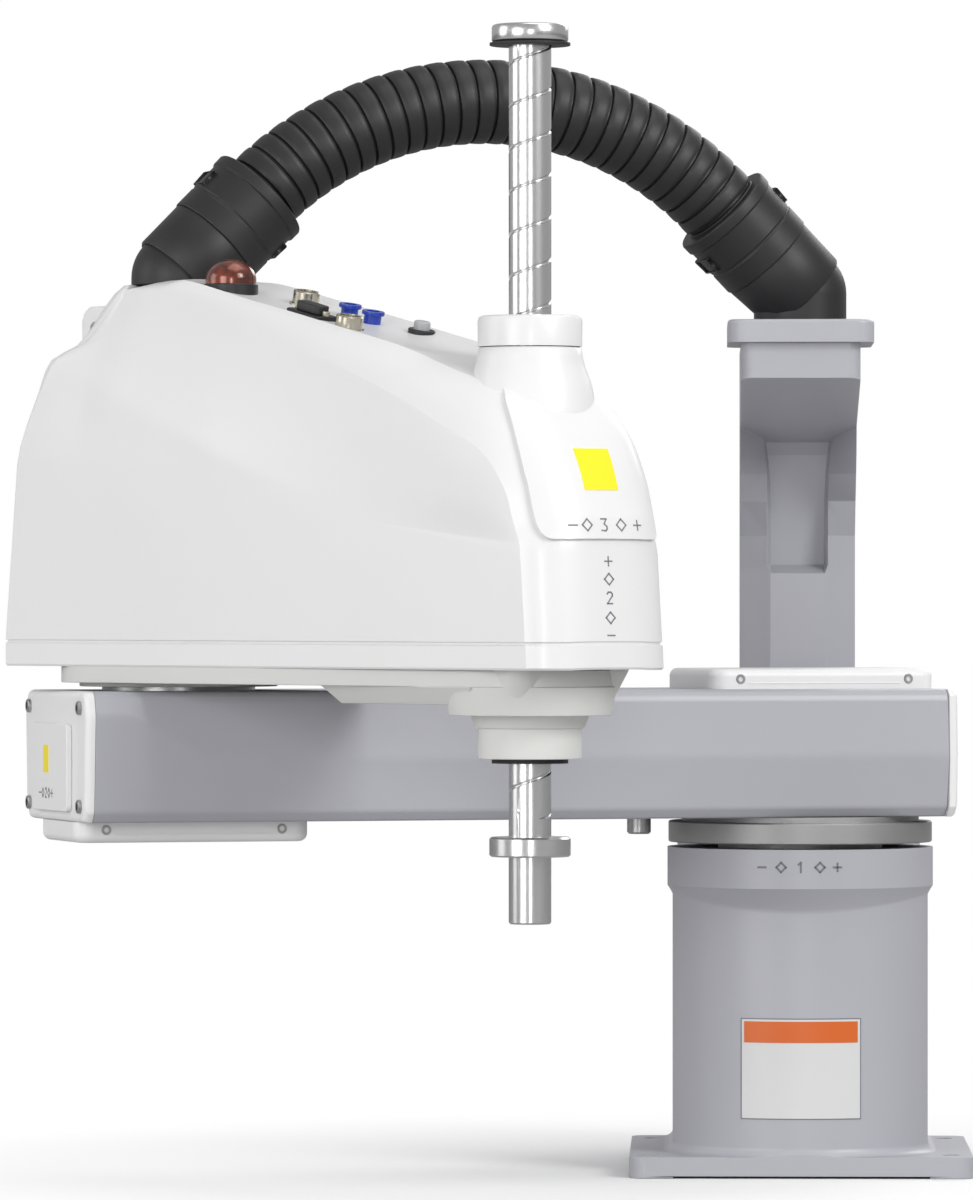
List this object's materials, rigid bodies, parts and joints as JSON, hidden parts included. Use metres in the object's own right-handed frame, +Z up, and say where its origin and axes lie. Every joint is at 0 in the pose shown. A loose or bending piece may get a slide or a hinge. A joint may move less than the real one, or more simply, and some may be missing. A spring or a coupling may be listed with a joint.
{
  "type": "SCARA robot",
  "caption": "Pedestal SCARA robot with two horizontal arms, a splined tool shaft that lifts and turns, and an overhead cable duct.",
  "frame": {"origin": "first arm axis at the underside of the base", "axes": "+Z up along the first arm axis, +Y towards the rear post, +X to the robot's side seen from the front with +Y going away"},
  "size_m": [0.4821, 0.5486, 0.5585],
  "materials": {
    "base_paint": "matte grey powder coat",
    "hood_white": "satin white paint",
    "cover_white": "satin white moulding",
    "cast_light": "light warm grey paint on a casting",
    "disc_metal": "bead blasted",
    "shaft_steel": "ground and polished",
    "machined_steel": "turned",
    "motor_black": "matte black",
    "duct_black": "charcoal nylon",
    "belt_rubber": "black",
    "seal_rubber": "black",
    "amber_lens": "dark amber, clear",
    "fitting_nickel": "nickel plated",
    "fitting_blue": "blue release ring",
    "connector_black": "black",
    "button_grey": "grey",
    "bracket_aluminium": "milled",
    "label_yellow": "plain yellow patch",
    "label_orange": "plain orange band",
    "label_grey": "plain light grey patch",
    "mark_grey": "plain grey marks"
  },
  "bodies": {
    "base": {"base_casting": "base_paint", "rear_post": "base_paint", "post_flange": "base_paint", "connector_panel": "base_paint", "power_connector": "connector_black", "signal_connectors": "fitting_nickel", "panel_screws": "machined_steel", "j1_motor": "motor_black", "j1_circular_spline": "machined_steel", "j1_bearing_outer": "machined_steel"},
    "j1_rotor": {"j1_wave_generator": "machined_steel"},
    "arm1": {"arm1_casting": "base_paint", "arm1_outer_end_cover": "cover_white", "arm1_inner_end_cover": "cover_white", "arm1_top_cover": "cover_white", "arm1_bottom_cover": "cover_white", "arm1_cover_screws": "machined_steel", "arm1_stop_peg": "machined_steel", "j1_output_disc": "disc_metal", "j1_flexspline": "machined_steel", "j1_bearing_inner": "machined_steel", "j2_flexspline": "machined_steel", "j2_bearing_outer": "machined_steel", "duct_conduit": "duct_black", "post_elbow": "duct_black", "post_coupling": "duct_black", "hood_elbow": "duct_black", "hood_coupling": "duct_black"},
    "arm2": {"arm2_casting": "cast_light", "hood": "hood_white", "top_collar": "hood_white", "lower_seal_ring": "seal_rubber", "lamp_base": "connector_black", "lamp_dome": "amber_lens", "dsub_connector": "connector_black", "user_air_fittings": "fitting_blue", "round_connectors": "fitting_nickel", "j2_motor": "motor_black", "j2_circular_spline": "machined_steel", "j2_bearing_inner": "machined_steel", "z_motor": "motor_black", "u_motor": "motor_black", "motor_bracket": "bracket_aluminium", "u_motor_bracket": "bracket_aluminium", "z_belt": "belt_rubber", "u_belt": "belt_rubber", "spline_nut_bearing": "machined_steel", "screw_nut_bearing": "machined_steel"},
    "j2_rotor": {"j2_wave_generator": "machined_steel"},
    "wrist": {"spline_nut": "machined_steel", "u_pulley": "disc_metal"},
    "lift_nut": {"screw_nut": "machined_steel", "z_pulley": "disc_metal"},
    "tool_shaft": {"shaft": "shaft_steel", "top_cap": "shaft_steel", "cap_bumper": "seal_rubber", "stop_ring": "shaft_steel"},
    "u_drive": {"u_motor_pulley": "disc_metal"},
    "z_drive": {"z_motor_pulley": "disc_metal"},
    "brake_button": {"brake_button": "button_grey"}
  },
  "joints": [
    {"name": "j1", "type": "hinge", "parent": "base", "child": "arm1", "pos_m": [0, 0, 0], "axis": [0, 0, 1], "range_deg": [-60.4, 203.6]},
    {"name": "j1_drive", "type": "hinge", "parent": "base", "child": "j1_rotor", "pos_m": [0, 0, 0], "axis": [0, 0, 1], "range_deg": [-16304.29, 4836.83]},
    {"name": "j2", "type": "hinge", "parent": "arm1", "child": "arm2", "pos_m": [-0.30839, -0.10259, 0], "axis": [0, 0, -1], "range_deg": [-33, 257]},
    {"name": "j2_drive", "type": "hinge", "parent": "arm2", "child": "j2_rotor", "pos_m": [-0.30839, -0.10259, 0], "axis": [0, 0, -1], "range_deg": [-12862.85, 1651.65]},
    {"name": "j4", "type": "hinge", "parent": "arm2", "child": "wrist", "pos_m": [-0.13015, -0.31201, 0], "axis": [0, 0, 1], "range_deg": [-360, 360]},
    {"name": "j3", "type": "slide", "parent": "wrist", "child": "tool_shaft", "axis": [0, 0, 1], "range_m": [-0.121, 0.029]},
    {"name": "lift_nut_turn", "type": "hinge", "parent": "arm2", "child": "lift_nut", "pos_m": [-0.13015, -0.31201, 0], "axis": [0, 0, 1], "range_deg": [-2182.36, 523.04]},
    {"name": "z_motor_turn", "type": "hinge", "parent": "arm2", "child": "z_drive", "pos_m": [-0.19302, -0.23814, 0], "axis": [0, 0, 1], "range_deg": [-4306.77, 1032.2]},
    {"name": "u_motor_turn", "type": "hinge", "parent": "arm2", "child": "u_drive", "pos_m": [-0.2358, -0.18788, 0], "axis": [0, 0, 1], "range_deg": [-711.86, 711.86]},
    {"name": "brake_release", "type": "slide", "parent": "arm2", "child": "brake_button", "axis": [0, 0, -1], "range_m": [0, 0.0025], "stiffness_N_per_m": 400}
  ],
  "couplings": [
    {"joint": "j1_drive", "follows": "j1", "ratio": -80},
    {"joint": "j2_drive", "follows": "j2", "ratio": -50},
    {"joint": "lift_nut_turn", "follows": "j3", "rad_per_m": 314.16},
    {"joint": "z_motor_turn", "follows": "j3", "rad_per_m": 619.98},
    {"joint": "u_motor_turn", "follows": "j4", "ratio": 1.9735}
  ]
}
